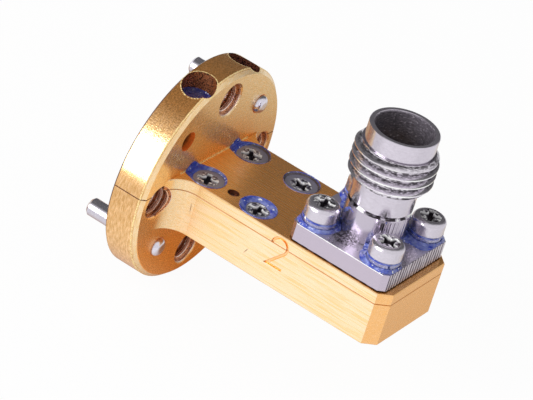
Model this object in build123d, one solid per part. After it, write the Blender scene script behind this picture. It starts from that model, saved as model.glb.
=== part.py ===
from build123d import *
import math
import os

os.makedirs("parts", exist_ok=True)

# Millimetre-wave adapter from rectangular waveguide to a threaded coaxial jack, in millimetres.
# The origin is the centre of the flange's mating face. +X runs along the arm, away from the
# mating face, and +Z is the axis of the coaxial jack, upwards.

# Rectangular waveguide inside the block
guide_width = 3.76
guide_height = 1.88
guide_corner_radius = 0.4
backshort_distance = 1.45       # from the probe's axis to the closed end of the guide

# Round flange
flange_diameter = 19.05
flange_thickness = 2.95
flange_rim_chamfer = 0.4        # on the arm side of the rim
flange_face_chamfer = 0.12      # on the mating side of the rim
bolt_circle = 14.275
tap_major = 2.84                # four tapped holes on the bolt circle
tap_depth = 0.29
tap_pitch = 0.635
tap_mouth_chamfer = 0.12
alignment_hole = 1.70
pin_diameter = 1.56             # free end of a pin
pin_shank_diameter = 1.6        # where it is pressed into the flange
pin_shoulder_diameter = 1.9     # sunk in the mating face, it sets how far the pin stands out
pin_shoulder_length = 0.6
pin_reach = 3.8                 # how far a pin stands out of the mating face
pin_tail = 0.5                  # how far its domed tail stands out of the inner face
pin_chamfer = 0.2
pin_dome = 0.5

# Arm of the split block
arm_length = 23.15              # from the mating face to the end
arm_width = 9.6
arm_bottom = 2.88               # below the guide's axis
cover_thickness = 0.95          # above the guide's broad wall
arm_end_chamfer = 0.95
root_radius = 2.0               # upright fillets between the arm and the flange
edge_break = 0.07
seam_break = 0.045              # edge break along the split line
figure_height = 2.6             # engraved port figure on the arm's side
figure_width = 1.45
figure_stroke = 0.24
figure_depth = 0.12
figure_bow_end = 35             # degrees below the horizontal where the bow turns into the stem
figure_x = 13.1
figure_z = 0.35

# Screws that clamp the two flange halves, in counterbores cut down from the rim
clamp_inset = 1.85              # across the flange, from a pin's axis to a clamp screw's axis
counterbore_diameter = 2.75
counterbore_floor = 5.95
clamp_head_diameter = 2.44
clamp_head_height = 1.52
clamp_shank = 1.52
clamp_length = 8.0
clamp_socket = 1.27             # across the flats
clamp_socket_depth = 0.75

# Countersunk screws of the cover
cover_screw_x = (4.58, 9.55)
cover_screw_spacing = 6.3
shank = 1.6                     # also the shank of the jack's screws
shank_clearance = 0.15
countersink_diameter = 3.08
flat_head_diameter = 2.75
flat_screw_length = 3.5
tap_spare = 0.4                 # a blind tapped hole is this much deeper than its screw
cover_screw_turns = (20, 33, 8, 62)

# Dowels between the halves
dowel_diameter = 1.0
first_dowel = (7.12, -3.18)
second_dowel_y = 3.35           # in line with the jack
dowel_bottom = 1.6
dowel_depth_in_cover = 0.42

# Coaxial jack
jack_setback = 5.25             # from the arm's end to the jack's axis
plate_margin = 0.075            # how far the plate runs out past the flat washers
plate_thickness = 1.62
plate_corner = 0.5
plate_break = 0.1
barrel_diameter = 5.2
barrel_height = 2.79            # from the plate's top to the joint with the shell
joint_break = 0.16              # of both edges at the joint, which make its groove
spigot_diameter = 3.8
spigot_height = 1.15
shell_barrel_height = 2.16      # from the joint to the thread
thread_major = 6.9
thread_depth = 0.44
thread_pitch = 0.75
thread_length = 3.15
pilot_diameter = 5.7
pilot_height = 1.55
mouth_bore = 4.77
mouth_depth = 3.2               # from the mouth to the reference plane
mouth_break = 0.1
lip_thickness = 0.45
lip_bore = 3.0
coax_bore = 1.85
bead_thickness = 0.75

# Centre line of the jack
contact_diameter = 0.80
contact_waist = 0.64
contact_recess = 0.05
contact_socket = 0.52
contact_socket_depth = 1.6
contact_slot = 0.1
contact_slot_length = 1.3
contact_foot_gap = 0.4
rear_socket_depth = 1.0
probe_diameter = 0.30
probe_tip_diameter = 0.50
probe_tip_length = 0.75
probe_depth = 1.15              # below the guide's broad wall
cover_coax_bore = 0.70
ferrule_diameter = 2.2
glass_diameter = 1.6
seal_length = 1.3

# Pan head screws of the jack
washer_room = 0.36              # between the barrel and a flat washer
pan_head_diameter = 2.8
pan_head_height = 1.32
pan_head_round = 0.45
pan_screw_length = 5.0
pan_screw_turns = (12, 40, 66, 25)
spring_washer_diameter = 2.75
spring_washer_thickness = 0.45
spring_washer_gap = 0.2
spring_washer_lean = 25         # degrees that the split leans
spring_washer_turns = (200, 250, 320, 140)
flat_washer_diameter = 2.85
flat_washer_thickness = 0.25
washer_bore = 1.7

# Cross recess of both kinds of screw
cross_span = 1.75
cross_width = 0.44
cross_depth = 0.6
cross_taper = 12
cross_core = 0.95               # the round taper in the middle, and its foot
cross_core_foot = 0.5
cross_core_depth = 0.75

# Sealing lacquer
lacquer_spread = 2.05           # radius of a collar on the plate
lacquer_climb = 0.55            # height of a collar
lacquer_coat = 0.12             # thickness of a collar over the washers' edges
lacquer_lap = 0.28              # how far a countersunk head's lacquer laps over its rim
lacquer_skin = 0.05             # its height above the cover
lacquer_fillet = 0.5            # where it runs up the flange beside the first two screws
lacquer_fillet_width = 1.5
lacquer_pool = 0.2              # depth over the clamp screws

# Milling marks on the end face of the plate and on the lower barrel
plate_mark_pitch = 0.42
barrel_mark_pitch = 0.34
mark_radius = 0.14
mark_depth = 0.045
barrel_marks = 8
barrel_mark_height = 1.6
barrel_mark_start = -52         # degrees about the jack's axis

# Places that follow from the sizes above
split_z = guide_height / 2
arm_top = split_z + cover_thickness
flange_radius = flange_diameter / 2
pin_offset = bolt_circle / 2 * math.sqrt(0.5)
plate_top = arm_top + plate_thickness
joint_z = plate_top + barrel_height
spigot_top = joint_z + spigot_height
bead_top = spigot_top + bead_thickness
thread_start = joint_z + shell_barrel_height
thread_end = thread_start + thread_length
mouth_z = thread_end + pilot_height
reference_z = mouth_z - mouth_depth
lip_z = reference_z - lip_thickness
seal_top = arm_top + seal_length
contact_foot = seal_top + contact_foot_gap
clamp_z = counterbore_floor
clamp_y = pin_offset - clamp_inset
jack_x = arm_length - jack_setback
half_pitch = (barrel_diameter / 2 + washer_room + flat_washer_diameter / 2) * math.sqrt(0.5)
plate_side = 2 * (half_pitch + flat_washer_diameter / 2 + plate_margin)
flat_head_z = arm_top - (countersink_diameter - flat_head_diameter) / 2
washer_top = plate_top + flat_washer_thickness + spring_washer_thickness

tapped_places = [(0, bolt_circle / 2), (-bolt_circle / 2, 0), (0, -bolt_circle / 2), (bolt_circle / 2, 0)]
pin_places = [(pin_offset, pin_offset), (-pin_offset, -pin_offset)]
alignment_places = [(-pin_offset, pin_offset), (pin_offset, -pin_offset)]
cover_screw_places = [(x, side * cover_screw_spacing / 2) for x in cover_screw_x for side in (-1, 1)]
dowel_places = [first_dowel, (jack_x, second_dowel_y)]
jack_screw_places = [(jack_x + sx * half_pitch, sy * half_pitch) for sx in (-1, 1) for sy in (-1, 1)]

FOOT = (Align.CENTER, Align.CENTER, Align.MIN)
HEAD = (Align.CENTER, Align.CENTER, Align.MAX)
OVER = 1.0                      # how far a cutting tool runs past the face that it opens


def on_flange(x, y, z):
    """A frame at that point whose own Z runs along the arm."""
    return Plane(origin=(x, y, z), x_dir=(0, 1, 0), z_dir=(1, 0, 0))


def turned(*profile):
    """A solid turned about Z from its half section, given as (radius, height) points."""
    section = Plane.XZ * make_face(Polyline(*profile, close=True))
    return revolve(section, Axis.Z)


def rod(diameter, bottom, top):
    return Pos(0, 0, bottom) * Cylinder(diameter / 2, top - bottom, align=FOOT)


def tube(outer, inner, bottom, top):
    return turned((inner / 2, bottom), (outer / 2, bottom), (outer / 2, top), (inner / 2, top))


def thread_profile(root, crest, pitch, first, turns):
    """Half section of a vee thread, drawn as rings at its pitch: root and crest are radii."""
    points = []
    for i in range(turns):
        z = first + i * pitch
        points += [(root, z + pitch / 8), (crest, z + pitch * 7 / 16), (crest, z + pitch * 9 / 16),
                   (root, z + pitch * 7 / 8)]
    return points


def cross_recess():
    """Cutter of a cross recess, open at z = 0 and narrowing downwards."""
    wings = Rectangle(cross_span, cross_width) + Rectangle(cross_width, cross_span)
    core = turned((0, 0), (cross_core / 2, 0), (cross_core_foot / 2, -cross_core_depth), (0, -cross_core_depth))
    return extrude(wings, amount=-cross_depth, taper=cross_taper) + core


def arm_outline():
    """The arm from above: upright fillets at its root and cut corners at its end."""
    half = arm_width / 2
    root = half + root_radius
    inside = flange_thickness / 2
    turn = flange_thickness + root_radius
    near = Polyline((inside, -root), (flange_thickness, -root))
    near_arc = RadiusArc((flange_thickness, -root), (turn, -half), root_radius)
    end = Polyline((turn, -half), (arm_length - arm_end_chamfer, -half), (arm_length, -half + arm_end_chamfer),
                   (arm_length, half - arm_end_chamfer), (arm_length - arm_end_chamfer, half), (turn, half))
    far_arc = RadiusArc((turn, half), (flange_thickness, root), root_radius)
    far = Polyline((flange_thickness, root), (inside, root), (inside, -root))
    return make_face([near, near_arc, end, far_arc, far])


def block():
    """The whole block before it is split: round flange and arm."""
    disc = Plane.YZ * Cylinder(flange_radius, flange_thickness, align=FOOT)
    disc = chamfer(disc.edges().sort_by(Axis.X)[-1], flange_rim_chamfer)
    disc = chamfer(disc.edges().sort_by(Axis.X)[0], flange_face_chamfer)
    arm = Pos(0, 0, -arm_bottom) * extrude(arm_outline(), amount=arm_bottom + arm_top)
    arm = chamfer(arm.faces().sort_by(Axis.Z)[-1].edges() + arm.faces().sort_by(Axis.Z)[0].edges(), edge_break)
    return disc + arm


def half_block(whole, upper):
    """One half of the block, with the small edge break along the split line."""
    depth = flange_diameter
    keep = Box(2 * arm_length, 2 * flange_diameter, depth, align=FOOT if upper else HEAD)
    half = whole & Pos(0, 0, split_z) * keep
    split_face = half.faces().sort_by(Axis.Z)[0 if upper else -1]
    outline = [edge for edge in split_face.edges() if edge.center().X > flange_face_chamfer]
    return chamfer(outline, seam_break)


def tapped_holes(half, places):
    """Cuts threaded holes through the flange, countersunk a little on both faces."""
    bore = tap_major / 2 - tap_depth
    turns = math.ceil(flange_thickness / tap_pitch)
    first = (flange_thickness - turns * tap_pitch) / 2
    far = flange_thickness + root_radius
    rings = thread_profile(bore, tap_major / 2, tap_pitch, first, turns)
    tap = turned((0, first), *rings, (bore, far), (0, far))
    lead = tap_major / 2 + tap_mouth_chamfer
    mouth = Cone(lead, bore, lead - bore, align=FOOT)
    for y, z in places:
        half -= on_flange(0, y, z) * tap
        half -= on_flange(-OVER, y, z) * Cylinder(bore, 2 * OVER, align=FOOT)
        half -= on_flange(0, y, z) * mouth
        half -= on_flange(flange_thickness, y, z) * Rot(180, 0, 0) * mouth
    return half


def flange_bores(half, places, diameter):
    for y, z in places:
        half -= on_flange(-OVER, y, z) * Cylinder(diameter / 2, flange_thickness + 2 * OVER, align=FOOT)
    return half


def pin_bores(half, places):
    """Bores for the pressed pins, each with a counterbore in the mating face for the shoulder."""
    half = flange_bores(half, places, pin_shank_diameter)
    shoulder = Cylinder(pin_shoulder_diameter / 2, pin_shoulder_length + OVER, align=FOOT)
    for y, z in places:
        half -= on_flange(-OVER, y, z) * shoulder
    return half


def port_figure():
    """The engraved figure on the arm's near side, drawn with one round-ended stroke."""
    radius = figure_width / 2
    top = figure_height / 2 - radius
    foot = -figure_height / 2
    end = math.radians(figure_bow_end)
    leave = (radius * math.cos(end), top - radius * math.sin(end))
    bow = CenterArc((0, top), radius, 180, -180 - figure_bow_end)
    stem = Line(leave, (-radius, foot))
    base = Line((-radius, foot), (radius, foot))
    stroke = trace(bow + stem + base, line_width=figure_stroke)
    side = Plane(origin=(figure_x, -arm_width / 2, figure_z), x_dir=(1, 0, 0), z_dir=(0, -1, 0))
    return extrude(side * stroke, amount=-figure_depth) + extrude(side * stroke, amount=figure_depth)


def lower_body(whole):
    """Lower half: the guide is milled in its top face, and every screw ends in a tapped hole in it."""
    body = tapped_holes(half_block(whole, upper=False), [tapped_places[1], tapped_places[2], tapped_places[3]])
    body = pin_bores(body, pin_places[1:])
    body = flange_bores(body, alignment_places[1:], alignment_hole)
    guide_end = jack_x + backshort_distance
    guide = Box(guide_end + OVER, guide_width, guide_height + OVER, align=(Align.MAX, Align.CENTER, Align.MIN))
    guide = Pos(guide_end, 0, -guide_height / 2) * guide
    guide = fillet(guide.edges().filter_by(Axis.Z).group_by(Axis.X)[-1], guide_corner_radius)
    body -= guide
    clamp_hole = rod(clamp_shank, clamp_z - clamp_length - tap_spare, split_z + OVER)
    for y in (-clamp_y, clamp_y):
        body -= Pos(flange_thickness / 2, y, 0) * clamp_hole
    for x, y in cover_screw_places:
        body -= Pos(x, y, 0) * rod(shank, flat_head_z - flat_screw_length - tap_spare, split_z + OVER)
    for x, y in jack_screw_places:
        body -= Pos(x, y, 0) * rod(shank, washer_top - pan_screw_length - tap_spare, split_z + OVER)
    for x, y in dowel_places:
        body -= Pos(x, y, 0) * rod(dowel_diameter, -dowel_bottom, split_z + OVER)
    return body - port_figure()


def upper_cover(whole):
    """Upper half: flat underneath, it closes the guide and carries the jack."""
    cover = tapped_holes(half_block(whole, upper=True), [tapped_places[0], tapped_places[1], tapped_places[3]])
    cover = pin_bores(cover, pin_places[:1])
    cover = flange_bores(cover, alignment_places[:1], alignment_hole)
    clamp_hole = rod(clamp_shank + shank_clearance, split_z - OVER, clamp_z + OVER)
    for y in (-clamp_y, clamp_y):
        cover -= Pos(flange_thickness / 2, y, 0) * rod(counterbore_diameter, clamp_z, flange_radius + OVER)
        cover -= Pos(flange_thickness / 2, y, 0) * clamp_hole
    sink = countersink_diameter / 2
    for x, y in cover_screw_places:
        cover -= Pos(x, y, arm_top) * Cone(shank / 2, sink, sink - shank / 2, align=HEAD)
        cover -= Pos(x, y, arm_top) * Cylinder(sink, OVER, align=FOOT)
        cover -= Pos(x, y, 0) * rod(shank + shank_clearance, split_z - OVER, arm_top + OVER)
    for x, y in jack_screw_places:
        cover -= Pos(x, y, 0) * rod(shank + shank_clearance, split_z - OVER, arm_top + OVER)
    for x, y in dowel_places:
        cover -= Pos(x, y, 0) * rod(dowel_diameter, split_z - OVER, arm_top + OVER)
    cover -= Pos(jack_x, 0, 0) * rod(cover_coax_bore, split_z - OVER, arm_top + OVER)
    return cover - port_figure()


def plate_outline():
    return chamfer(Rectangle(plate_side, plate_side).vertices(), plate_corner)


def connector_base():
    """Square flange and lower barrel, turned and milled from one piece of stainless steel."""
    plate = Pos(0, 0, arm_top) * extrude(plate_outline(), amount=plate_thickness)
    plate = chamfer(plate.faces().sort_by(Axis.Z)[0].edges(), plate_break)
    barrel = barrel_diameter / 2
    base = plate + turned((0, plate_top - plate_thickness / 2), (barrel, plate_top - plate_thickness / 2),
                          (barrel, joint_z - joint_break), (barrel - joint_break, joint_z),
                          (spigot_diameter / 2, joint_z), (spigot_diameter / 2, spigot_top), (0, spigot_top))
    base -= rod(coax_bore, arm_top - OVER, spigot_top + OVER)
    base -= rod(ferrule_diameter, arm_top - OVER, seal_top)
    for sx in (-half_pitch, half_pitch):
        for sy in (-half_pitch, half_pitch):
            base -= Pos(sx, sy, 0) * rod(shank + shank_clearance, arm_top - OVER, plate_top + OVER)
    sink = mark_radius - mark_depth
    count = int((plate_side - 2 * plate_corner) / plate_mark_pitch)
    mill = rod(2 * mark_radius, arm_top + plate_break, plate_top + OVER)
    for i in range(count):
        base -= Pos(plate_side / 2 + sink, (i - (count - 1) / 2) * plate_mark_pitch, 0) * mill
    top = joint_z - 2 * joint_break
    step = math.degrees(barrel_mark_pitch / barrel)
    for i in range(barrel_marks):
        angle = barrel_mark_start + i * step
        mark = Pos(barrel + sink, 0, 0) * rod(2 * mark_radius, top - barrel_mark_height, top)
        base -= Rot(0, 0, angle) * mark
    return Pos(jack_x, 0, 0) * base


def connector_shell():
    """Upper barrel, coupling thread and pilot, screwed on the base's spigot."""
    core = thread_major / 2 - thread_depth
    crest = thread_major / 2
    pilot = pilot_diameter / 2
    barrel = barrel_diameter / 2
    first = thread_start + thread_depth
    last = thread_end - thread_depth
    turns = int((last - first) / thread_pitch)
    grooves = thread_profile(crest, core, thread_pitch, first, turns)
    shell = turned((0, joint_z), (barrel - joint_break, joint_z), (barrel, joint_z + joint_break),
                   (barrel, thread_start), (core, thread_start),
                   (crest, first), *grooves, (crest, last), (core, thread_end), (pilot, thread_end),
                   (pilot, mouth_z - mouth_break / 2), (pilot - mouth_break / 2, mouth_z), (0, mouth_z))
    bore = mouth_bore / 2
    shell -= turned((0, reference_z), (bore, reference_z), (bore, mouth_z - mouth_break),
                    (bore + mouth_break, mouth_z), (bore + mouth_break, mouth_z + OVER), (0, mouth_z + OVER))
    shell -= rod(lip_bore, lip_z - OVER, reference_z + OVER)
    shell -= rod(spigot_diameter, joint_z - OVER, lip_z)
    return Pos(jack_x, 0, 0) * shell


def outer_conductor():
    """Bushing between the bead and the shell's lip. Its front face is the reference plane."""
    bore = coax_bore / 2
    body = spigot_diameter / 2
    nose = lip_bore / 2
    bushing = turned((bore, bead_top), (body, bead_top), (body, lip_z), (nose, lip_z), (nose, reference_z),
                     (bore, reference_z))
    return Pos(jack_x, 0, 0) * bushing


def support_bead():
    """Plastic disc clamped between the bushing and the spigot. It sits in the contact's waist."""
    return Pos(jack_x, 0, 0) * tube(spigot_diameter, contact_waist, spigot_top, bead_top)


def centre_contact():
    """Slotted female contact with a waist for the bead and a socket for the probe in its foot."""
    r, waist, top = contact_diameter / 2, contact_waist / 2, reference_z - contact_recess
    contact = turned((0, contact_foot), (r, contact_foot), (r, spigot_top), (waist, spigot_top),
                     (waist, bead_top), (r, bead_top), (r, top), (0, top))
    contact -= rod(contact_socket, top - contact_socket_depth, top + OVER)
    contact -= rod(probe_diameter, contact_foot - OVER, contact_foot + rear_socket_depth)
    slot_height = contact_slot_length + OVER
    for angle in (0, 90):
        slot = Rot(0, 0, angle) * Box(2 * contact_diameter, contact_slot, slot_height, align=HEAD)
        contact -= Pos(0, 0, top + OVER) * slot
    return Pos(jack_x, 0, 0) * contact


def bead_ferrule():
    return Pos(jack_x, 0, 0) * tube(ferrule_diameter, glass_diameter, arm_top, seal_top)


def glass_bead():
    return Pos(jack_x, 0, 0) * tube(glass_diameter, probe_diameter, arm_top, seal_top)


def launch_probe():
    """Pin from the contact's foot through the glass and the cover into the guide."""
    tip = split_z - probe_depth
    shoulder = tip + probe_tip_length
    top = contact_foot + rear_socket_depth
    r, fat = probe_diameter / 2, probe_tip_diameter / 2
    pin = turned((0, tip), (fat, tip), (fat, shoulder), (r, shoulder), (r, top), (0, top))
    return Pos(jack_x, 0, 0) * pin


def connector_screws():
    """Four pan head screws with a cross recess."""
    r = pan_head_diameter / 2
    head = fillet(rod(pan_head_diameter, washer_top, washer_top + pan_head_height).edges().sort_by(Axis.Z)[-1],
                  pan_head_round)
    screw = head + rod(shank, washer_top - pan_screw_length, washer_top)
    screw -= Pos(0, 0, washer_top + pan_head_height) * cross_recess()
    places = zip(jack_screw_places, pan_screw_turns)
    return [Pos(x, y, 0) * Rot(0, 0, turn) * screw for (x, y), turn in places]


def spring_washers():
    """Four split washers, flat as they are under load."""
    bottom = plate_top + flat_washer_thickness
    ring = tube(spring_washer_diameter, washer_bore, bottom, bottom + spring_washer_thickness)
    cut = Box(spring_washer_diameter, spring_washer_gap, 4 * spring_washer_thickness,
              align=(Align.MIN, Align.CENTER, Align.CENTER))
    cut = Pos(0, 0, bottom + spring_washer_thickness / 2) * Rot(spring_washer_lean, 0, 0) * cut
    places = zip(jack_screw_places, spring_washer_turns)
    return [Pos(x, y, 0) * Rot(0, 0, turn) * (ring - cut) for (x, y), turn in places]


def flat_washers():
    ring = tube(flat_washer_diameter, washer_bore, plate_top, plate_top + flat_washer_thickness)
    return [Pos(x, y, 0) * ring for x, y in jack_screw_places]


def cover_screws():
    """Four countersunk screws, their heads a little below the cover's face."""
    r, head = shank / 2, flat_head_diameter / 2
    tip = flat_head_z - flat_screw_length
    screw = turned((0, tip), (r, tip), (r, flat_head_z - (head - r)), (head, flat_head_z), (0, flat_head_z))
    screw -= Pos(0, 0, flat_head_z) * cross_recess()
    places = zip(cover_screw_places, cover_screw_turns)
    return [Pos(x, y, 0) * Rot(0, 0, turn) * screw for (x, y), turn in places]


def clamp_screws():
    """Two socket head screws, deep in the counterbores of the rim."""
    head = rod(clamp_head_diameter, clamp_z, clamp_z + clamp_head_height)
    socket = extrude(RegularPolygon(clamp_socket / 2, 6, major_radius=False), amount=-clamp_socket_depth)
    screw = head - Pos(0, 0, clamp_z + clamp_head_height) * socket
    screw += rod(clamp_shank, clamp_z - clamp_length, clamp_z)
    return [Pos(flange_thickness / 2, y, 0) * screw for y in (-clamp_y, clamp_y)]


def alignment_pins():
    """Two shouldered steel pins pressed through the flange, chamfered in front and domed behind."""
    pin = rod(pin_diameter, -pin_reach, 0) + rod(pin_shoulder_diameter, 0, pin_shoulder_length)
    pin += rod(pin_shank_diameter, pin_shoulder_length, flange_thickness + pin_tail)
    pin = chamfer(pin.edges().sort_by(Axis.Z)[0], pin_chamfer)
    pin = fillet(pin.edges().sort_by(Axis.Z)[-1], pin_dome)
    return [on_flange(0, y, z) * pin for y, z in pin_places]


def split_dowels():
    top = arm_top - dowel_depth_in_cover
    return [Pos(x, y, 0) * rod(dowel_diameter, -dowel_bottom, top) for x, y in dowel_places]


def lacquer_connector_screws():
    """A collar of sealing lacquer round the washers of each pan head screw."""
    wide = flat_washer_diameter / 2
    narrow = spring_washer_diameter / 2
    step = plate_top + flat_washer_thickness
    lip = plate_top + lacquer_climb
    collar = turned((wide, plate_top), (lacquer_spread, plate_top), (wide + lacquer_coat, step + lacquer_coat),
                    (narrow + lacquer_coat, lip), (narrow, lip), (narrow, step), (wide, step))
    footprint = Pos(jack_x, 0, plate_top) * extrude(plate_outline(), amount=OVER)
    barrel = Pos(jack_x, 0, 0) * rod(barrel_diameter, plate_top, joint_z)
    return [(Pos(x, y, 0) * collar & footprint) - barrel for x, y in jack_screw_places]


def lacquer_cover_screws():
    """Lacquer over the rim of each countersunk head. Beside the flange it runs up the face."""
    head, sink = flat_head_diameter / 2, countersink_diameter / 2
    ring = turned((head - lacquer_lap, flat_head_z), (head, flat_head_z), (sink, arm_top),
                  (head, arm_top + lacquer_skin))
    rings = []
    for x, y in cover_screw_places:
        skin = Pos(x, y, 0) * ring
        if x == cover_screw_x[0]:
            reach = x - head - flange_thickness
            corner = Plane.XZ * make_face(Polyline((0, 0), (reach, 0), (0, lacquer_fillet), close=True))
            wedge = extrude(corner, amount=lacquer_fillet_width / 2, both=True)
            wedge = Pos(flange_thickness, y, arm_top) * wedge
            skin += wedge
        rings.append(skin)
    return rings


def lacquer_clamp_screws():
    """A pool of lacquer on each clamp screw, up to the wall of its counterbore."""
    bottom = clamp_z + clamp_head_height
    pool = rod(counterbore_diameter, bottom, bottom + lacquer_pool)
    return [Pos(flange_thickness / 2, y, 0) * pool for y in (-clamp_y, clamp_y)]


def save(name, shape):
    """Writes one sub-part. A list of like pieces becomes a group of separate solids."""
    if isinstance(shape, list):
        shape = Compound(children=[solid for piece in shape for solid in piece.solids()])
    else:
        shape = shape.solids()[0] if len(shape.solids()) == 1 else shape
    shape.label = name
    export_step(shape, f"parts/{name}.step")


whole_block = block()
save("lower_body", lower_body(whole_block))
save("upper_cover", upper_cover(whole_block))
save("connector_base", connector_base())
save("connector_shell", connector_shell())
save("outer_conductor", outer_conductor())
save("support_bead", support_bead())
save("centre_contact", centre_contact())
save("bead_ferrule", bead_ferrule())
save("glass_bead", glass_bead())
save("launch_probe", launch_probe())
save("connector_screws", connector_screws())
save("spring_washers", spring_washers())
save("flat_washers", flat_washers())
save("cover_screws", cover_screws())
save("clamp_screws", clamp_screws())
save("alignment_pins", alignment_pins())
save("split_dowels", split_dowels())
save("lacquer_connector_screws", lacquer_connector_screws())
save("lacquer_cover_screws", lacquer_cover_screws())
save("lacquer_clamp_screws", lacquer_clamp_screws())
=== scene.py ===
import bmesh
import bpy
import math
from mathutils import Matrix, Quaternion, Vector


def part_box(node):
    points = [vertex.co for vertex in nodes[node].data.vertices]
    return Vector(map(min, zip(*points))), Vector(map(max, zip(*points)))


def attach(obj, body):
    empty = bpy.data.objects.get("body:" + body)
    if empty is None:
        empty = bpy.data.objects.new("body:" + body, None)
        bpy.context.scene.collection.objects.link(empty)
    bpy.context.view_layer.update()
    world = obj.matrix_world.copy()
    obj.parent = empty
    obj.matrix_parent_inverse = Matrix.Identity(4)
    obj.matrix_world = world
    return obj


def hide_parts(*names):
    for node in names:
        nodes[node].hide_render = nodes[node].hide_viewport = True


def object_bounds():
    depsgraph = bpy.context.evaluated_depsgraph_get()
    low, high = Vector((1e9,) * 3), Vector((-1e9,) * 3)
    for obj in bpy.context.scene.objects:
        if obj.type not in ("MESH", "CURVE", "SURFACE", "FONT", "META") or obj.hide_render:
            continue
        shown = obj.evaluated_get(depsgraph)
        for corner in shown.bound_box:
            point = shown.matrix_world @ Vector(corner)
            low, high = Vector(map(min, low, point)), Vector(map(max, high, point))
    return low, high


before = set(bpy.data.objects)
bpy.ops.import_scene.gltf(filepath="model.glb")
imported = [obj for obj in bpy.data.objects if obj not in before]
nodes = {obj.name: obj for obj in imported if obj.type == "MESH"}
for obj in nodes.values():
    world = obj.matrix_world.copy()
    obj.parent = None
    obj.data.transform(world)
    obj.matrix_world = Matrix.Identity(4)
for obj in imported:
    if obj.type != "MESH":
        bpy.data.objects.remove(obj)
cad_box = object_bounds()

# The split block: the lower body and its cover, with the round flange cut through by the split.
# Brass, milled and turned, then plated with gold, so its flat faces mirror the room a little
# blurred and its darks are deep orange. The cover is screwed down on the body.
MM = 0.001
flange_thickness = 2.95
shoulder_x = 2.57
rim_inside = 9.4                        # radius from which a point counts as on the rim
split_z = 0.94
arm_top = 1.89
arm_width = 9.6
end_face_x = 22.2
tap_circle = 7.1375                     # radius of the circle of the four tapped holes
pin_offset = 5.047                      # of the alignment holes, sideways and up
clamp_x, clamp_y = 1.475, 3.197         # of the clamp screws in their counterbores
dowel_x, dowel_y = 7.12, 3.18
near_screw_x, far_screw_x, screw_y = 4.58, 9.55, 3.15
flat = 0.02                             # how close to a level counts as on it
fine_line = 0.045                       # half the width of the split and of the painted highlight on the shoulder
scratch_width = 0.06
corner_highlight_reach = 0.11                      # how far out of the arm's corner with the flange the painted highlight reaches
cutter_mark = 0.14                      # real marks are finer, and wouldn't show
plating_grain = 0.12                    # also coarser than the real grain
ring_stretch = 2.0                      # mm of pattern to a radian, so marks run round
lengthwise = 0.04                       # marks along the arm are 25 times as long as wide
figure_reach = (0.15, 0.25)             # in from the arm's side, where the engraved figure ends


def linear(code):
    """An sRGB hex colour as the linear colour that a socket takes."""
    parts = [int(code[i:i + 2], 16) / 255 for i in (0, 2, 4)]
    return [p / 12.92 if p <= 0.04045 else ((p + 0.055) / 1.055) ** 2.4 for p in parts] + [1.0]


def add(owner, kind, inputs=None, output=None, **settings):
    """Adds one shader node with its settings. An input is given a value, or another node's output
    to link. Mix has its share at 0, and its two sides at 2 and 3 for numbers, 4 and 5 for places
    or 6 and 7 for colours. Gives back the output that is named, or else the first in use."""
    made = owner.node_tree.nodes.new("ShaderNode" + kind)
    for name, value in settings.items():
        setattr(made, name, value)
    for name, value in (inputs or {}).items():
        if isinstance(value, bpy.types.NodeSocket):
            owner.node_tree.links.new(value, made.inputs[name])
        else:
            made.inputs[name].default_value = value
    if output:
        return made.outputs[output]
    return next((socket for socket in made.outputs if socket.enabled), None)


def blank(name):
    material = bpy.data.materials.new(name)
    material.use_nodes = True
    material.node_tree.nodes.clear()
    return material


def wear(material, *names):
    """Puts the material on the CAD nodes of those names."""
    for name in names:
        nodes[name].data.materials.clear()
        nodes[name].data.materials.append(material)


gold = blank("Gold plating on milled brass")
place = add(gold, "TexCoord", output="Object")
axes = add(gold, "SeparateXYZ", {0: place}).node.outputs
on_arm = add(gold, "Math", {0: axes["X"], 1: (flange_thickness + 0.05) * MM},
             operation="GREATER_THAN")

# Cutter marks: rings round the turned flange, lines along the milled arm.
across = add(gold, "VectorMath", {0: place, 1: (0, 1, 1)}, operation="MULTIPLY")
radius = add(gold, "VectorMath", {0: across}, operation="LENGTH")
around = add(gold, "Math", {0: axes["Z"], 1: axes["Y"]}, operation="ARCTAN2")
around = add(gold, "Math", {0: around, 1: ring_stretch * MM}, operation="MULTIPLY")
turned_place = add(gold, "CombineXYZ", {"X": axes["X"], "Y": radius, "Z": around})
milled_place = add(gold, "VectorMath", {0: place, 1: (lengthwise, 1, 1)}, operation="MULTIPLY")
cut_place = add(gold, "Mix", {0: on_arm, 4: turned_place, 5: milled_place}, data_type="VECTOR")
tool_lines = add(gold, "TexNoise", {"Vector": cut_place, "Scale": 1 / (cutter_mark * MM),
                                    "Detail": 3.0, "Roughness": 0.6})
grain = add(gold, "TexNoise", {"Vector": place, "Scale": 1 / (plating_grain * MM),
                               "Detail": 2.0, "Roughness": 0.6})

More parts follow.
